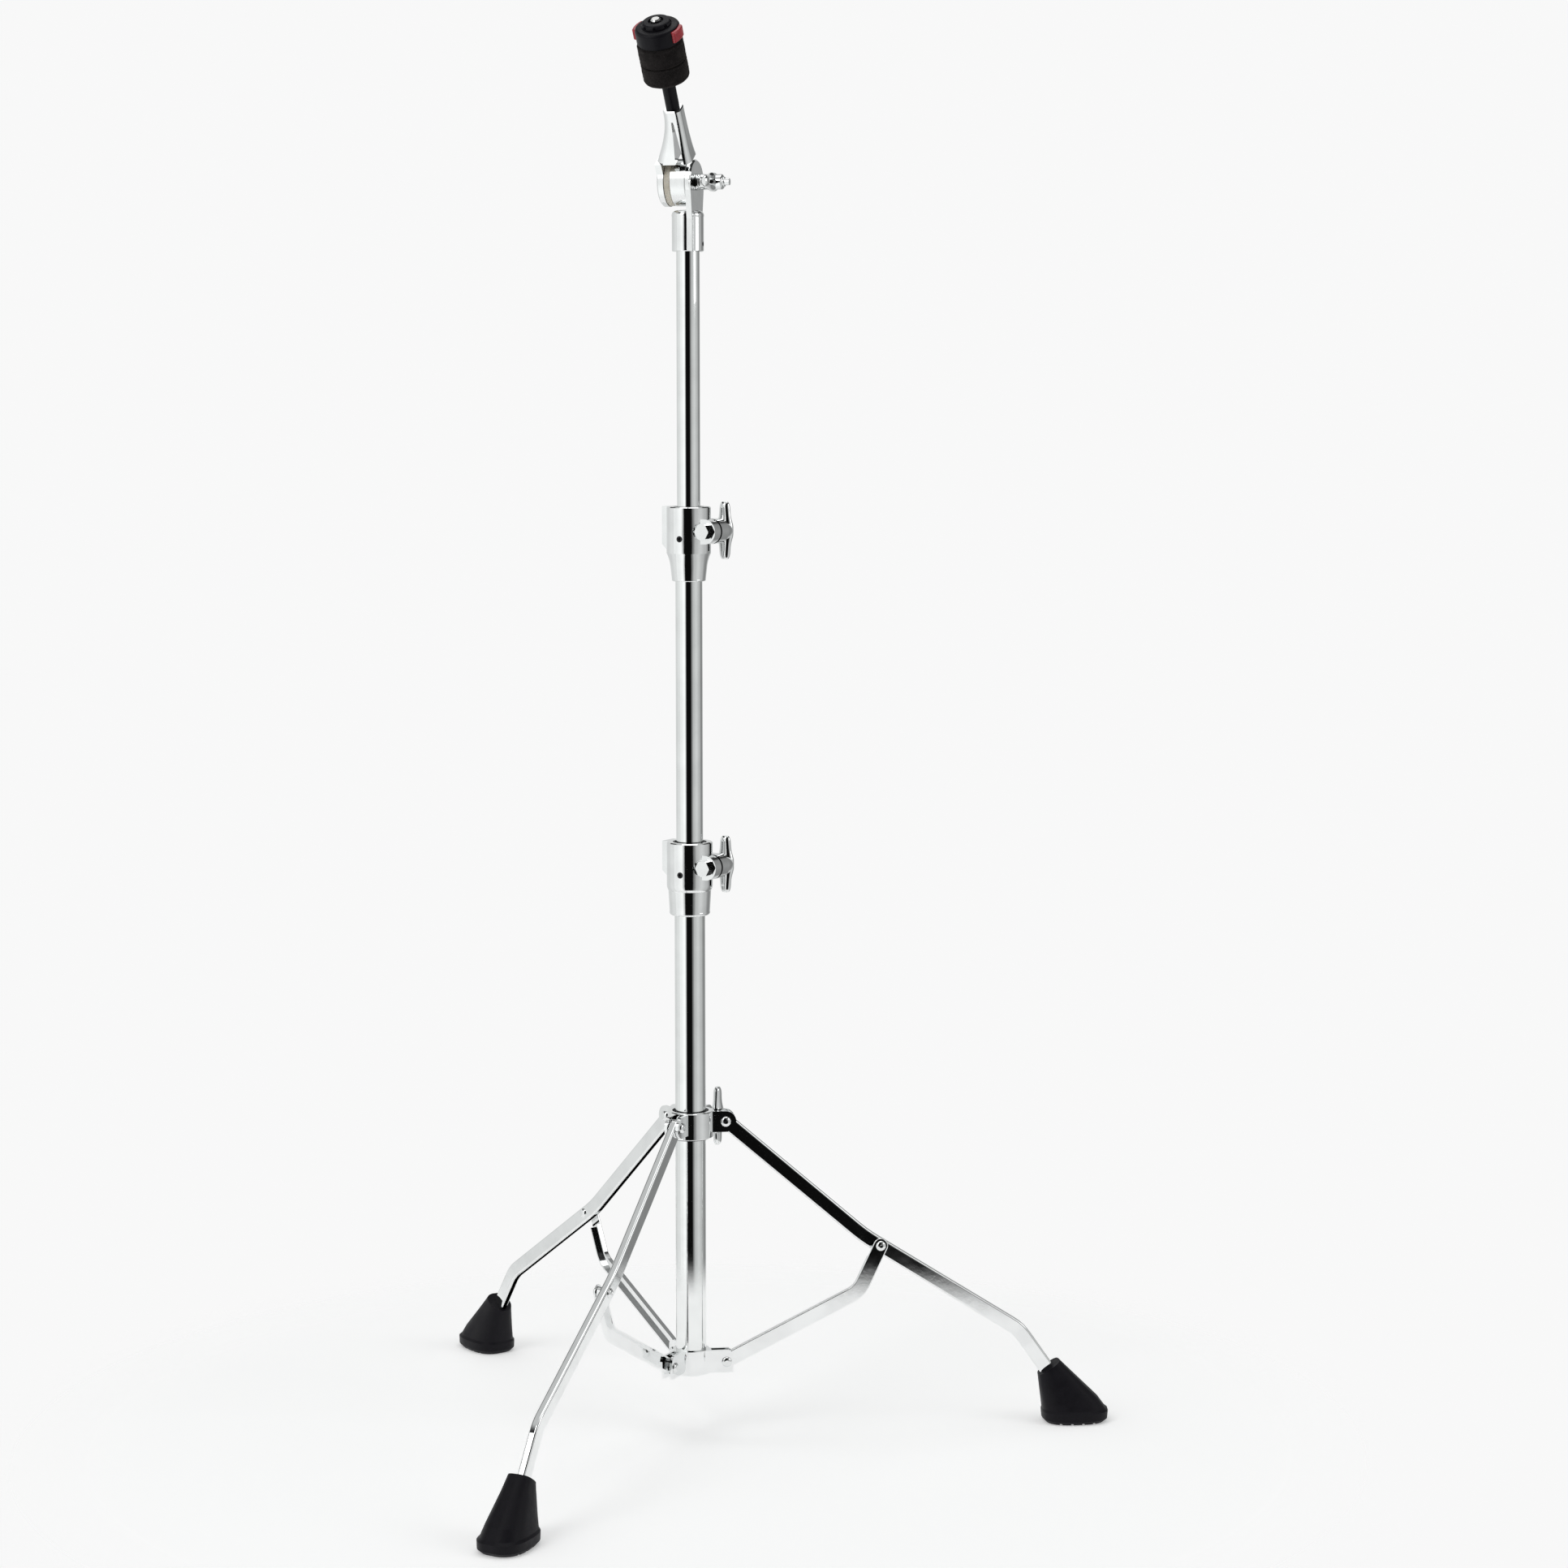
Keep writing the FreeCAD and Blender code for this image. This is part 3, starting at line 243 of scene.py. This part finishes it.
def pressed_felt():
    """Dense pressed wool: matted fibres, cloudy dark colour and pale stray hairs."""
    surface = Surface("pressed_felt", (0.022, 0.018, 0.016), roughness=0.95)
    surface.shader.inputs["Specular IOR Level"].default_value = 0.12
    surface.shader.inputs["Sheen Weight"].default_value = 0.15
    surface.shader.inputs["Sheen Roughness"].default_value = 0.55
    surface.shader.inputs["Sheen Tint"].default_value = (0.55, 0.50, 0.46, 1.0)
    clouds = surface.ramp(surface.noise(140.0, 5.0),
                          [(0.3, (0.0055, 0.0048, 0.0052)), (0.72, (0.019, 0.0165, 0.0168))])
    hairs = surface.ramp(surface.noise(1500.0, 4.0, (1.0, 1.0, 0.25), (0.5, 0.8, 0.2)),
                         [(0.58, 0.0), (0.72, 0.65)])
    pale = surface.ramp(surface.noise(300.0, 2.0),
                        [(0.3, (0.030, 0.026, 0.025)), (0.7, (0.055, 0.048, 0.044))])
    surface.colour(surface.mix(hairs, clouds, pale))
    surface.bump(surface.noise(900.0, 6.0), 0.0005, 0.9)
    surface.bump(surface.noise(2600.0, 4.0, (1.0, 1.0, 0.3), (0.9, 0.3, 0.6)), 0.0003, 0.8)
    return surface.material


CHROME_TINT = (0.90, 0.915, 0.91)
tube_chrome = chrome("chrome_tube", CHROME_TINT, 0.02, 0.055, 0.000004, 0.0000015, (1.0, 1.0, 0.02))
cast_chrome = chrome("chrome_casting", (0.88, 0.89, 0.89), 0.035, 0.085, 0.00002)
strip_chrome = chrome("chrome_pressing", (0.885, 0.895, 0.895), 0.03, 0.08, 0.000012, 0.000002,
                      (1.0, 1.0, 0.1))
bolt_chrome = chrome("chrome_hardware", (0.86, 0.87, 0.87), 0.06, 0.13, 0.000012)
steel = turned_steel()
black_steel = black_oxide()
ring_nylon = nylon()
satin_black = moulded_black("satin_black", (0.0045, 0.0042, 0.0065), 0.42, 0.45, 0.00005)
sleeve_black = moulded_black("sleeve_black", (0.0035, 0.0033, 0.0050), 0.36, 0.9, 0.00002)
rubber = moulded_black("foot_rubber", (0.0040, 0.0035, 0.0058), 0.5, 0.8, 0.00008)
button_red = red_plastic()
felt_wool = pressed_felt()

LEGS = ("a", "b", "c")
LOOKS = {
    tube_chrome: ["base_tube", "middle_tube", "top_tube"],
    cast_chrome: ["leg_bracket", "lower_joint_collar", "upper_joint_collar", "tilter_base", "tilter_arm",
                  "tilter_drum", "leg_collar", "lower_joint_wing_nut", "upper_joint_wing_nut",
                  "tilter_wing_nut", "collar_wing_nut"],
    strip_chrome: [f"{part}_{leg}" for leg in LEGS for part in ("leg", "brace")],
    bolt_chrome: ["bracket_rivets", "collar_rivets", "collar_bolt", "lower_joint_bolt", "upper_joint_bolt",
                  "tilter_pivot_bolt"] + [f"brace_rivet_{leg}" for leg in LEGS],
    steel: ["cymbal_stud", "jaw_right", "jaw_left", "button_springs"],
    black_steel: ["lower_joint_screw", "upper_joint_screw", "tilter_base_screw"],
    ring_nylon: ["tilter_friction_ring"],
    satin_black: ["topper_shell", "topper_cover", "lower_bushing", "upper_bushing", "collar_liner"],
    sleeve_black: ["stud_sleeve"],
    button_red: ["button_right", "button_left"],
    rubber: [f"foot_{leg}" for leg in LEGS],
    felt_wool: ["lower_felt", "upper_felt"],
}


def dress_nodes():
    """Gives every CAD node its material."""
    for material, nodes in LOOKS.items():
        for name in nodes:
            node = frame["nodes"][name]
            node.data.materials.clear()
            node.data.materials.append(material)


# ---------------------------------------------------------------- felts
FELT_SEGMENTS = 180
FELT_SKIN = 0.35 * MM          # how deep the matted surface goes up and down
HAIR_COUNT = 900
ROUND_STEPS = 8
SIDE_STEPS = 22
FACE_STEPS = 9
BORE_STEPS = 10
SIDE_CROWN = 0.35 * MM
HAIR_THICKNESS = 0.035 * MM
HAIR_RINGS = 5


def new_piece(name, mesh, material):
    """Links a mesh as a visible piece."""
    piece = bpy.data.objects.new(name, mesh)
    piece.data.materials.append(material)
    bpy.context.scene.collection.objects.link(piece)
    return piece


def felt_profile(low, high, outer, bore, round_low, round_high):
    """Closed outline of a felt washer, as (radius, height), a little crowned on its side."""
    points = []
    for i in range(ROUND_STEPS + 1):
        angle = math.pi / 2 * i / ROUND_STEPS
        points.append((outer - round_low + round_low * math.sin(angle),
                       low + round_low - round_low * math.cos(angle)))
    rise = high - low - round_low - round_high
    for i in range(1, SIDE_STEPS):
        share = i / SIDE_STEPS
        waist = SIDE_CROWN * (1 - (2 * share - 1) ** 2)
        points.append((outer - SIDE_CROWN + waist, low + round_low + rise * share))
    for i in range(ROUND_STEPS + 1):
        angle = math.pi / 2 * i / ROUND_STEPS
        points.append((outer - round_high + round_high * math.cos(angle),
                       high - round_high + round_high * math.sin(angle)))
    edge = outer - round_high
    face = [edge - (edge - bore) * i / FACE_STEPS for i in range(1, FACE_STEPS + 1)]
    points += [(r, high) for r in face]
    points += [(bore, high - (high - low) * i / BORE_STEPS) for i in range(1, BORE_STEPS)]
    points += [(r, low) for r in reversed(face)]
    return points


def matted(point, radial):
    """A point of the felt moved in or out by the matting of its fibres."""
    coarse = noise.noise(point * 260.0)
    fine = noise.noise(point * 900.0)
    return point + radial * FELT_SKIN * (0.55 * coarse + 0.45 * fine - 0.7)


def add_hair(mesh, root, outward, rng):
    """One stray fibre: a thin curved three-sided strand that lies almost flat on the felt."""
    along = outward.cross(Vector((rng.uniform(-1, 1), rng.uniform(-1, 1), rng.uniform(-1, 1)))).normalized()
    length = rng.uniform(0.9, 2.4) * MM
    lift = rng.uniform(0.12, 0.42)
    curl = outward.cross(along) * rng.uniform(-0.5, 0.5)
    across = along.cross(outward)
    rings = []
    for i in range(HAIR_RINGS):
        share = i / (HAIR_RINGS - 1)
        rise = outward * length * lift * math.sin(math.pi * 0.62 * share)
        spot = root + along * length * share + curl * length * share * share + rise
        half = HAIR_THICKNESS * (1.15 - share)
        corners = (outward, across * 0.87 - outward * 0.5, -across * 0.87 - outward * 0.5)
        rings.append([mesh.verts.new(spot + corner * half) for corner in corners])
    for lower, upper in zip(rings, rings[1:]):
        for k in range(3):
            mesh.faces.new((lower[k], lower[(k + 1) % 3], upper[(k + 1) % 3], upper[k]))
    mesh.faces.new(list(reversed(rings[0])))
    mesh.faces.new(rings[-1])


def felt_washer(node, round_low, round_high, seed):
    """Detailed felt in the place of a CAD one."""
    low, high, outer = stud_extent(node)
    bore = stud_extent("stud_sleeve")[2] + 0.3 * MM
    profile = felt_profile(low, high, outer, bore, round_low, round_high)
    mesh = bmesh.new()
    rings = []
    for i in range(FELT_SEGMENTS):
        angle = 2 * math.pi * i / FELT_SEGMENTS
        way = Vector((math.cos(angle), math.sin(angle), 0))
        ring = []
        for radius, height in profile:
            point = way * radius + Vector((0, 0, height))
            if radius > bore + 0.5 * MM:
                middle = Vector((0, 0, (low + high) / 2)) + way * (outer - 8 * MM)
                point = matted(point, (point - middle).normalized())
            ring.append(mesh.verts.new(point))
        rings.append(ring)
    for i, ring in enumerate(rings):
        after = rings[(i + 1) % FELT_SEGMENTS]
        for k in range(len(profile)):
            k_next = (k + 1) % len(profile)
            mesh.faces.new((ring[k], after[k], after[k_next], ring[k_next]))
    rng = random.Random(seed)
    for _ in range(HAIR_COUNT):
        angle = rng.uniform(0, 2 * math.pi)
        way = Vector((math.cos(angle), math.sin(angle), 0))
        root = way * (outer - 0.45 * MM) + Vector((0, 0, rng.uniform(low + round_low, high - round_high)))
        add_hair(mesh, root, way, rng)
    bmesh.ops.recalc_face_normals(mesh, faces=mesh.faces)
    mesh.transform(STUD_FRAME)
    data = bpy.data.meshes.new(node + "_wool")
    mesh.to_mesh(data)
    mesh.free()
    data.shade_smooth()
    piece = new_piece(node + "_wool", data, felt_wool)
    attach(piece, frame["nodes"][node]["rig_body"])
    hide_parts(node)


# ---------------------------------------------------------------- studio
CAMERA_AZIMUTH = -4.8
CAMERA_DISTANCE = 3.0
CAMERA_HEIGHT = 0.9037
CAMERA_PITCH = 6.73
CAMERA_YAW = 1.49
CAMERA_LENS = 83.97
BACKDROP = 0.94
# tent wall: (degrees from the camera's own direction, brightness)
TENT = ((-130, 0.72), (-100, 0.82), (-72, 0.95), (-40, 1.12), (-33, 0.75), (-24, 0.004), (13, 0.004),
        (22, 0.22), (36, 0.55), (62, 0.68), (95, 0.52), (120, 0.27), (137, 0.24), (152, 0.5), (178, 0.72))
# above the wall: (height, 0 level and 1 overhead, brightness), a dark gap and then the bright roof
ROOF = ((0.0, 0.0), (0.50, 0.0), (0.55, 0.035), (0.76, 0.035), (0.84, 0.55), (0.95, 0.62), (1.0, 0.95))
WALL_TOP = (0.50, 0.55)


def place_camera():
    """Camera in front of the stand, a little above its middle."""
    data = bpy.data.cameras.new("camera")
    data.lens = CAMERA_LENS
    data.sensor_width = 36.0
    camera = bpy.data.objects.new("camera", data)
    bpy.context.scene.collection.objects.link(camera)
    side = math.radians(CAMERA_AZIMUTH)
    camera.location = (math.sin(side) * CAMERA_DISTANCE, -math.cos(side) * CAMERA_DISTANCE, CAMERA_HEIGHT)
    camera.rotation_euler = (math.radians(90 - CAMERA_PITCH), 0, side - math.radians(CAMERA_YAW))
    bpy.context.scene.camera = camera


def set_ramp(ramp, stops):
    """Puts (place, brightness) stops on a colour ramp."""
    elements = ramp.color_ramp.elements
    while len(elements) < len(stops):
        elements.new(0.5)
    for element, (where, level) in zip(elements, stops):
        element.position = where
        element.color = (level * 0.985, level, level * 0.995, 1.0)


def studio_world():
    """Bright tent round the stand, with the dark gap that the camera looks through."""
    world = bpy.data.worlds.new("studio")
    bpy.context.scene.world = world
    world.use_nodes = True
    tree = world.node_tree
    tree.nodes.clear()
    place = tree.nodes.new("ShaderNodeTexCoord")
    split = tree.nodes.new("ShaderNodeSeparateXYZ")
    tree.links.new(place.outputs["Generated"], split.inputs[0])
    # angle round the stand, 0 towards +X and growing towards +Y, as a share of a whole turn
    turn = tree.nodes.new("ShaderNodeMath")
    turn.operation = "ARCTAN2"
    tree.links.new(split.outputs["Y"], turn.inputs[0])
    tree.links.new(split.outputs["X"], turn.inputs[1])
    share = tree.nodes.new("ShaderNodeMath")
    share.operation = "MULTIPLY_ADD"
    share.inputs[1].default_value = 1 / (2 * math.pi)
    share.inputs[2].default_value = 0.5
    tree.links.new(turn.outputs[0], share.inputs[0])
    round_tent = tree.nodes.new("ShaderNodeValToRGB")
    round_tent.color_ramp.interpolation = "EASE"
    middle = 90 + CAMERA_AZIMUTH
    set_ramp(round_tent, sorted((((middle + angle) / 360) % 1.0, level) for angle, level in TENT))
    tree.links.new(share.outputs[0], round_tent.inputs["Fac"])
    roof_light = tree.nodes.new("ShaderNodeValToRGB")
    set_ramp(roof_light, ROOF)
    tree.links.new(split.outputs["Z"], roof_light.inputs["Fac"])
    roof_share = tree.nodes.new("ShaderNodeMapRange")
    roof_share.interpolation_type = "SMOOTHSTEP"
    roof_share.inputs["From Min"].default_value, roof_share.inputs["From Max"].default_value = WALL_TOP
    tree.links.new(split.outputs["Z"], roof_share.inputs["Value"])
    roof = tree.nodes.new("ShaderNodeMix")
    roof.data_type = "RGBA"
    tree.links.new(roof_share.outputs["Result"], roof.inputs[0])
    tree.links.new(round_tent.outputs["Color"], roof.inputs[6])
    tree.links.new(roof_light.outputs["Color"], roof.inputs[7])
    lit = tree.nodes.new("ShaderNodeBackground")
    tree.links.new(roof.outputs[2], lit.inputs["Color"])
    seen = tree.nodes.new("ShaderNodeBackground")
    seen.inputs["Color"].default_value = (BACKDROP, BACKDROP, BACKDROP, 1.0)
    path = tree.nodes.new("ShaderNodeLightPath")
    chosen = tree.nodes.new("ShaderNodeMixShader")
    tree.links.new(path.outputs["Is Camera Ray"], chosen.inputs[0])
    tree.links.new(lit.outputs[0], chosen.inputs[1])
    tree.links.new(seen.outputs[0], chosen.inputs[2])
    output = tree.nodes.new("ShaderNodeOutputWorld")
    tree.links.new(chosen.outputs[0], output.inputs["Surface"])


def softbox(name, place, aim, size, watts):
    """Large rectangular light aimed at a point."""
    data = bpy.data.lights.new(name, "AREA")
    data.shape = "RECTANGLE"
    data.size, data.size_y = size
    data.energy = watts
    light = bpy.data.objects.new(name, data)
    bpy.context.scene.collection.objects.link(light)
    light.location = place
    light.rotation_euler = (Vector(aim) - Vector(place)).to_track_quat("-Z", "Y").to_euler()


FLOOR_GLOW = 0.34
FLOOR_FADE = (0.45, 0.62)


def pale_floor():
    """Plain round matt floor that fades into the backdrop."""
    mesh = bmesh.new()
    bmesh.ops.create_circle(mesh, cap_ends=True, radius=1.1 * FLOOR_FADE[1], segments=96)
    data = bpy.data.meshes.new("floor")
    mesh.to_mesh(data)
    mesh.free()
    surface = Surface("floor_paper", (0.93, 0.93, 0.93), roughness=0.9)
    surface.shader.inputs["Specular IOR Level"].default_value = 0.1
    surface.shader.inputs["Emission Color"].default_value = (1.0, 1.0, 1.0, 1.0)
    surface.shader.inputs["Emission Strength"].default_value = FLOOR_GLOW
    far = surface.node("ShaderNodeVectorMath")
    far.operation = "LENGTH"
    surface.link(surface.coordinates.outputs["Object"], far.inputs[0])
    fade = surface.node("ShaderNodeMapRange")
    fade.interpolation_type = "SMOOTHSTEP"
    fade.inputs["From Min"].default_value, fade.inputs["From Max"].default_value = FLOOR_FADE
    fade.inputs["To Min"].default_value = 1.0
    fade.inputs["To Max"].default_value = 0.0
    surface.link(far.outputs["Value"], fade.inputs["Value"])
    surface.link(fade.outputs["Result"], surface.shader.inputs["Alpha"])
    floor = new_piece("floor", data, surface.material)
    floor.location.z = -0.2 * MM


bpy.context.scene.view_settings.view_transform = "Standard"
dress_nodes()
felt_washer("lower_felt", 3.2 * MM, 1.2 * MM, 11)
felt_washer("upper_felt", 1.2 * MM, 1.6 * MM, 23)
place_camera()
studio_world()
softbox("key", (-1.9, -1.5, 2.6), (0, 0, 0.6), (1.2, 1.6), 16)
softbox("top", (0.1, 0.5, 3.2), (0, 0, 0), (2.2, 2.2), 14)
softbox("fill", (2.2, -1.0, 1.7), (0, 0, 0.5), (1.0, 1.6), 8)
pale_floor()
